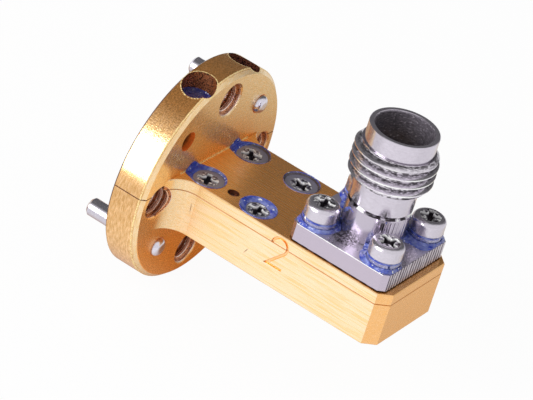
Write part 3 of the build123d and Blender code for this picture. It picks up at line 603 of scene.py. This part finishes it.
def finished(name, mesh, material, slot, *replaced):
    """Turns a bmesh in millimetres into a piece in place, smooth but for its sharp edges."""
    bmesh.ops.scale(mesh, vec=(MM, MM, MM), verts=mesh.verts)
    data = bpy.data.meshes.new(name)
    mesh.to_mesh(data)
    mesh.free()
    data.materials.append(material)
    data.shade_smooth()
    data.set_sharp_from_angle(angle=math.radians(sharp_angle))
    piece = bpy.data.objects.new(name, data)
    bpy.context.scene.collection.objects.link(piece)
    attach(piece, "root")
    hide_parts(*replaced)


def next_ring(mesh, ring, r, z):
    """Extrudes a round open edge to a new radius and height, and returns the new edge."""
    grown = bmesh.ops.extrude_edge_only(mesh, edges=ring)["geom"]
    for vert in (item for item in grown if isinstance(item, bmesh.types.BMVert)):
        vert.co.xy *= r / vert.co.xy.length
        vert.co.z = z
    return [item for item in grown if isinstance(item, bmesh.types.BMEdge)
            and all(abs(vert.co.z - z) < 1e-6 and abs(vert.co.xy.length - r) < 1e-5
                    for vert in item.verts)]


def rim_at(mesh, z):
    return [edge for edge in mesh.edges
            if edge.is_boundary and all(abs(vert.co.z - z) < 1e-5 for vert in edge.verts)]


def cut_at(mesh, z, side=1, clear=False):
    """Cuts the mesh through at a height, and clears what lies on that side of the cut."""
    everything = mesh.verts[:] + mesh.edges[:] + mesh.faces[:]
    bmesh.ops.bisect_plane(mesh, geom=everything, plane_co=(0, 0, z), plane_no=(0, 0, side),
                           clear_outer=clear)


shell = bmesh.new()
first_turn = crest_height - thread_pitch * math.ceil(
    (crest_height - thread_start) / thread_pitch + 1)
section = []
for turn in range(math.ceil((thread_end - first_turn) / thread_pitch) + 1):
    z = first_turn + turn * thread_pitch
    section += [(core, z - thread_pitch * 3 / 8), (crest, z - thread_pitch / 16),
                (crest, z + thread_pitch / 16), (core, z + thread_pitch * 3 / 8)]
section = [shell.verts.new((r, 0, z)) for r, z in section]
section += [shell.edges.new(pair) for pair in zip(section, section[1:])]
bmesh.ops.spin(shell, geom=section, cent=(0, 0, 0), axis=(0, 0, 1), angle=math.tau,
               steps=turn_steps, dvec=(0, 0, thread_pitch / turn_steps))
cut_at(shell, thread_start, side=-1, clear=True)
cut_at(shell, thread_end, side=1, clear=True)
for i in range(1, chamfer_steps + 1):
    cut_at(shell, thread_start + thread_depth * i / chamfer_steps)
    cut_at(shell, thread_end - thread_depth * i / chamfer_steps)
bmesh.ops.remove_doubles(shell, verts=shell.verts, dist=1e-4)
for vert in shell.verts:
    limit = core + min(vert.co.z - thread_start, thread_end - vert.co.z)
    if vert.co.xy.length > limit:
        vert.co.xy *= limit / vert.co.xy.length
foot = rim_at(shell, thread_start)
for r, z in ((barrel_radius, thread_start), (barrel_radius, joint_z + joint_break),
             (barrel_radius - joint_break, joint_z), (spigot_radius, joint_z),
             (spigot_radius, reference_z - lip_thickness),
             (lip_radius, reference_z - lip_thickness), (lip_radius, reference_z),
             (mouth_radius, reference_z), (mouth_radius, mouth_z - mouth_break),
             (mouth_radius + mouth_break, mouth_z), (pilot_radius - pilot_round, mouth_z)):
    foot = next_ring(shell, foot, r, z)
pilot = rim_at(shell, thread_end)
for r, z in ((pilot_radius, thread_end), (pilot_radius, mouth_z - pilot_round)):
    pilot = next_ring(shell, pilot, r, z)
bmesh.ops.bridge_loops(shell, edges=foot + pilot)
bmesh.ops.recalc_face_normals(shell, faces=shell.faces)
bmesh.ops.translate(shell, vec=(jack_x, 0, 0), verts=shell.verts)
finished("connector_shell_threaded", shell, turned, "stainless_steel", "connector_shell")

# Inside the jack, trapped by the shell: the bushing whose face is the reference plane and the
# slotted contact, gold over beryllium copper, so warm and softly mirroring, and the bead of dull
# cream plastic. In the foot, the probe runs through a seal of dark, glossy glass.
contact_gold = blank("Gold plated beryllium copper")
bead_plastic = blank("Moulded bead plastic")
seal_glass = blank("Seal glass")
for material, looks, names in (
        (contact_gold, {"Base Color": linear("F2CF8A"), "Metallic": 1.0, "Roughness": 0.25},
         ("centre_contact", "launch_probe", "outer_conductor", "bead_ferrule")),
        (bead_plastic, {"Base Color": linear("E9E2CE"), "Roughness": 0.45}, ("support_bead",)),
        (seal_glass, {"Base Color": linear("5A7060"), "Roughness": 0.1, "IOR": 1.5},
         ("glass_bead",))):
    add(material, "OutputMaterial", {"Surface": add(material, "BsdfPrincipled", looks)})
    wear(material, *names)

# Sealing lacquer on every screw: brushed on wet, so it lies thin and glossy over the washers and
# thicker in the pools between them and the barrel. It lets the steel show through where thin, and
# small white spots in it are painted glints.
pool = 0.6
# larger than the real ones, to show at all
glint_spot = 0.3                            # size of the painted glints, large enough to show at all
thick_x, thick_z = 3.75, 4.0            # it is thick nearer the flange and lower than these
washers_z, washers_half = 4.2, 0.47     # the band in which it lies over the washers
bores_z = 6.0                           # above this it lies in the shade of the counterbores
lacquer = blank("Blue sealing lacquer")
place = add(lacquer, "TexCoord", output="Object")
axes = add(lacquer, "SeparateXYZ", {0: place}).node.outputs
height = axes["Z"]
pools = add(lacquer, "TexNoise", {"Vector": place, "Scale": 1 / (pool * MM), "Detail": 3.0})
thick = add(lacquer, "MapRange", {"Value": pools, "From Min": 0.35, "From Max": 0.6})
by_flange = add(lacquer, "Math", {0: axes["X"], 1: thick_x * MM}, operation="LESS_THAN")
low = add(lacquer, "Math", {0: height, 1: thick_z * MM}, operation="LESS_THAN")
by_flange = add(lacquer, "Math", {0: by_flange, 1: low}, operation="MULTIPLY")
thick = add(lacquer, "Math", {0: thick, 1: by_flange}, operation="MAXIMUM")
cover = add(lacquer, "MapRange", {"Value": thick, "To Min": 0.68, "To Max": 0.92})
on_washers = add(lacquer, "Math", {0: height, 1: washers_z * MM, 2: washers_half * MM},
                 operation="COMPARE")
cover = add(lacquer, "Mix", {0: on_washers, 2: cover, 3: 0.18})
for seam_z in washer_seams:
    seam = add(lacquer, "Math", {0: height, 1: seam_z * MM, 2: 2 * seam_half * MM},
               operation="COMPARE")
    cover = add(lacquer, "Mix", {0: seam, 2: cover, 3: 0.75})
# Painted glints: small white spots in the film.
painted_lacquer_glints = add(lacquer, "TexNoise", {"Vector": place, "Scale": 1 / (glint_spot * MM), "Detail": 1.0})
painted_lacquer_glints = add(lacquer, "MapRange", {"Value": painted_lacquer_glints, "From Min": 0.66, "From Max": 0.70,
                                    "To Max": 0.9})
in_bores = add(lacquer, "Math", {0: height, 1: bores_z * MM}, operation="GREATER_THAN")
in_bores = add(lacquer, "Math", {0: in_bores, 1: 0.65}, operation="MULTIPLY")
tone = add(lacquer, "Mix", {0: thick, 6: linear("8C98DC"), 7: linear("2840B0")},
           data_type="RGBA")
for where, code in ((painted_lacquer_glints, "FFFFFF"), (in_bores, "3C3058")):
    tone = add(lacquer, "Mix", {0: where, 6: tone, 7: linear(code)}, data_type="RGBA")
bump = add(lacquer, "Bump", {"Height": pools, "Strength": 1.0, "Distance": 0.35 * MM})
surface = add(lacquer, "BsdfPrincipled", {"Base Color": tone, "Roughness": 0.05, "IOR": 1.48,
                                          "Specular IOR Level": 1.0, "Alpha": cover,
                                          "Normal": bump})
add(lacquer, "OutputMaterial", {"Surface": surface})
film_gap = 0.006
film_on_wall = 0.2                      # the most that it stands off a wall it is folded up
film_steps = 72
washer_ring = 1.5


def reach_at(reaches, angle):
    """Blends smoothly between reaches that are given at even steps of angle."""
    step = math.tau / len(reaches)
    before = int(angle % math.tau / step)
    part = angle % math.tau / step - before
    blend = (1 - math.cos(math.pi * part)) / 2
    after = reaches[(before + 1) % len(reaches)]
    return reaches[before % len(reaches)] * (1 - blend) + after * blend


def pour(mesh, x, y, ring, section, inner, outer, bend):
    """Sweeps a closed section round a screw. Its points are (share, height): a share below 0 goes
    in from the ring's radius by the inner reach, one above 0 goes out to the outer reach."""
    older = set(mesh.verts)
    wide = 10                           # swept at this radius first, then drawn in
    corners = [mesh.verts.new((wide + share, 0, z)) for share, z in section]
    rim = [mesh.edges.new(pair) for pair in zip(corners, corners[1:] + corners[:1])]
    bmesh.ops.spin(mesh, geom=corners + rim, cent=(0, 0, 0), axis=(0, 0, 1), angle=math.tau,
                   steps=film_steps, use_merge=True)
    for vert in (v for v in mesh.verts if v not in older):
        angle = math.atan2(vert.co.y, vert.co.x)
        share = vert.co.xy.length - wide
        r = ring + share * (reach_at(inner, angle) if share < 0
                            else reach_at(outer, angle) - ring)
        vert.co.xy = (x + r * math.cos(angle), y + r * math.sin(angle))
        bend(vert)


def on_plate(vert):
    """Folds up the barrel what would run into it, and stops at the plate's edge."""
    limit = barrel_radius + film_gap + min(vert.co.z - plate_top, film_on_wall)
    away = Vector((vert.co.x - jack_x, vert.co.y))
    if away.length < limit:
        vert.co.z += limit - away.length
        vert.co.xy = Vector((jack_x, 0)) + away.normalized() * limit
    edge = plate_side / 2 - 0.02
    vert.co.x = min(max(vert.co.x, jack_x - edge), jack_x + edge)
    vert.co.y = min(max(vert.co.y, -edge), edge)


collar = [(share, plate_top + rise) for share, rise in (
    (-0.07, film_gap), (-0.07, 0.26), (-0.094, 0.27), (-0.094, 0.82), (-0.08, 0.76),
    (-0.06, 0.62), (-0.07, 0.45), (-0.04, 0.30), (0.10, 0.21), (0.35, 0.13), (0.75, 0.09),
    (0.97, 0.04), (1.0, film_gap))]
film = bmesh.new()
for sx, sy, outer in (
        (-1, -1, (1.6, 1.9, 2.9, 2.5, 2.0, 1.9, 1.8, 1.7, 1.6, 1.6, 1.55, 1.55)),
        (1, -1, (1.55, 1.55, 1.55, 1.65, 2.2, 2.5, 2.0, 1.85, 1.7, 1.6, 1.6, 1.6)),
        (1, 1, (1.55, 1.7, 1.8, 1.6, 1.6, 1.7, 1.9, 2.6, 2.6, 2.0, 2.15, 1.75)),
        (-1, 1, (1.9, 1.6, 1.6, 1.6, 1.7, 1.7, 1.7, 1.7, 1.7, 2.6, 4.6, 4.6))):
    pour(film, jack_x + sx * half_pitch, sy * half_pitch, washer_ring, collar, (1.0,), outer,
         on_plate)
bmesh.ops.recalc_face_normals(film, faces=film.faces)
finished("lacquer_over_washers", film, lacquer, "sealing_lacquer", "lacquer_connector_screws")

sink_ring = 1.54
ring_film = ((-1.0, sunk_top + film_gap), (-0.6, sunk_top + film_gap), (-0.6, sunk_top + 0.008),
             (0.0, arm_top + film_gap), (1.0, arm_top + film_gap), (0.9, arm_top + 0.03),
             (0.3, arm_top + 0.06), (0.0, arm_top + 0.045), (-0.4, arm_top - 0.01),
             (-0.85, sunk_top + 0.08))


def on_arm_top(vert):
    """Folds up the flange's face what would run into it."""
    limit = flange_thickness + film_gap + min(max(vert.co.z - arm_top, 0), film_on_wall)
    if vert.co.x < limit:
        vert.co.z += limit - vert.co.x
        vert.co.x = limit


film = bmesh.new()
for x, y, inner, outer in (
        (near_screw_x, -screw_y,
         (0.16, 0.16, 0.14, 0.14, 0.2, 0.3, 0.4, 0.35, 0.25, 0.2, 0.18, 0.18),
         (1.55, 1.55, 1.55, 1.55, 1.57, 1.9, 2.2, 1.9, 1.57, 1.55, 1.55, 1.55)),
        (near_screw_x, screw_y,
         (0.05, 0.05, 0.05, 0.05, 0.08, 0.25, 0.4, 0.3, 0.15, 0.06, 0.05, 0.05),
         (1.55, 1.55, 1.55, 1.55, 1.56, 1.65, 2.1, 1.9, 1.6, 1.55, 1.55, 1.55)),
        (far_screw_x, -screw_y,
         (0.5, 0.55, 0.7, 0.6, 0.5, 0.5, 0.55, 0.6, 0.5, 0.45, 0.4, 0.45),
         (1.6, 1.58, 1.57, 1.57, 1.6, 1.65, 1.6, 1.57, 1.57, 1.56, 1.57, 1.58)),
        (far_screw_x, screw_y, (0.05,), (1.545,))):
    pour(film, x, y, sink_ring, ring_film, inner, outer, on_arm_top)
bmesh.ops.recalc_face_normals(film, faces=film.faces)
finished("lacquer_in_countersinks", film, lacquer, "sealing_lacquer", "lacquer_cover_screws")

pool_foot = 7.478
pool_film = [(share, pool_foot + rise) for share, rise in (
    (-1.0, 0), (-1.0, 0.012), (-0.3, 0.012), (0.3, 0.022), (0.8, 0.072), (1.0, 0.322), (1.0, 0))]
film = bmesh.new()
for y in (-clamp_y, clamp_y):
    pour(film, clamp_x, y, 1.0, pool_film, (0.999,), (1.367,), lambda vert: None)
bmesh.ops.recalc_face_normals(film, faces=film.faces)
finished("lacquer_in_counterbores", film, lacquer, "sealing_lacquer", "lacquer_clamp_screws")

# The table: white paper under the flange's rim. To polished surfaces it shows white in front and,
# as a painted shadow, a warm brown just behind the object, with painted shade to the left in
# front.
table_size = 3.0
table_gap = 0.01
shadow_centre = Vector((-2, 12, 0))
shadow_reach = 45
bpy.ops.mesh.primitive_plane_add(size=table_size, location=(0, 0, cad_box[0].z - table_gap * MM))
table = bpy.context.object
table.name = "table"
paper = blank("White paper")
rays = add(paper, "LightPath").node.outputs
mirrored = add(paper, "Math", {0: rays["Is Glossy Ray"], 1: rays["Is Transmission Ray"]},
               operation="MAXIMUM")
plain_ray = add(paper, "Math", {0: mirrored, 1: rays["Is Camera Ray"]}, operation="MAXIMUM")
floor_place = add(paper, "TexCoord", output="Object")
axes = add(paper, "SeparateXYZ", {0: floor_place}).node.outputs
# A painted shadow of warm brown round a point behind the object, seen only in reflections.
away = add(paper, "VectorMath", {0: floor_place, 1: shadow_centre * MM}, operation="DISTANCE")
away = add(paper, "Math", {0: away, 1: shadow_reach * MM}, operation="DIVIDE")
painted_shadow = add(paper, "ValToRGB", {0: away})
ramp = painted_shadow.node.color_ramp.elements
ramp[0].color = linear("B0703C")
ramp[1].color = linear("F6F6F6")
for position, code in ((0.36, "A0683C"), (0.52, "D6C4AA")):
    ramp.new(position).color = linear(code)
# Painted shade on the paper's left front, seen only in reflections.
painted_left_shade = add(paper, "MapRange", {"Value": axes["X"], "From Min": -8 * MM, "From Max": 2 * MM})
front = add(paper, "Mix", {0: painted_left_shade, 6: linear("E0E0E0"), 7: linear("FFFFFF")},
            data_type="RGBA")
depth = add(paper, "MapRange", {"Value": axes["Y"], "From Min": -11 * MM, "From Max": 2 * MM},
            interpolation_type="SMOOTHSTEP")
colour = add(paper, "Mix", {0: depth, 6: front, 7: painted_shadow}, data_type="RGBA")
colour = add(paper, "Mix", {0: mirrored, 6: linear("FFFFFF"), 7: colour}, data_type="RGBA")
share = add(paper, "Math", {0: plain_ray, 1: 0.95}, operation="MULTIPLY")
lit = add(paper, "BsdfDiffuse", {"Color": linear("F4F4F4")})
glow = add(paper, "Emission", {"Color": colour, "Strength": 1.0})
add(paper, "OutputMaterial", {"Surface": add(paper, "MixShader", {0: share, 1: lit, 2: glow})})
table.data.materials.append(paper)

# The room: white all round, dimmer as plain light than as a backdrop, with a dark wall behind and
# above that the polished tops mirror, and one large soft lamp in front.
to_wall = Vector((-0.62, 0.55, 0.56)).normalized()
key_place = Vector((-110, -266, 84))
key_size = 190
key_watts = 0.87
world = bpy.data.worlds.new("White room")
bpy.context.scene.world = world
world.use_nodes = True
world.node_tree.nodes.clear()
rays = add(world, "LightPath").node.outputs
towards = add(world, "TexCoord", output="Generated")
facing = add(world, "VectorMath", {0: towards, 1: to_wall}, operation="DOT_PRODUCT")
wall = add(world, "MapRange", {"Value": facing, "From Min": 0.15, "From Max": 0.62,
                               "To Min": 0.88, "To Max": 0.10}, interpolation_type="SMOOTHSTEP")
glossy, ambient, backdrop = [
    add(world, "Background", {"Color": linear("FFFFFF"), "Strength": strength})
    for strength in (wall, 0.6, 1.0)]
room = add(world, "MixShader", {0: rays["Is Glossy Ray"], 1: ambient, 2: glossy})
room = add(world, "MixShader", {0: rays["Is Camera Ray"], 1: room, 2: backdrop})
add(world, "OutputWorld", {"Surface": room})
light = bpy.data.lights.new("key", "AREA")
light.shape = "SQUARE"
light.size = key_size * MM
light.energy = key_watts
key = bpy.data.objects.new("key", light)
key.location = key_place * MM
key.rotation_mode = "QUATERNION"
key.rotation_quaternion = (-key.location).to_track_quat("-Z", "Y")
bpy.context.scene.collection.objects.link(key)

# The camera: a long lens above the arm's end, turned a little, as the photograph was taken. Its
# place was fitted to the round flange, the arm and the jack.
camera_target = Vector((8.957, -0.902, 1.421))
camera_distance = 300
camera_azimuth = math.radians(25.239)
camera_elevation = math.radians(30.943)
camera_roll = math.radians(17.64)
back = Vector((math.sin(camera_azimuth) * math.cos(camera_elevation),
               -math.cos(camera_azimuth) * math.cos(camera_elevation),
               math.sin(camera_elevation)))
view = bpy.data.cameras.new("camera")
view.lens = 256.55
view.sensor_width = 36
view.clip_start = 0.01
camera = bpy.data.objects.new("camera", view)
camera.location = (camera_target + back * camera_distance) * MM
camera.rotation_mode = "QUATERNION"
camera.rotation_quaternion = (-back).to_track_quat("-Z", "Y") @ Quaternion((0, 0, 1), camera_roll)
bpy.context.scene.collection.objects.link(camera)
bpy.context.scene.camera = camera
bpy.context.scene.view_settings.view_transform = "Standard"
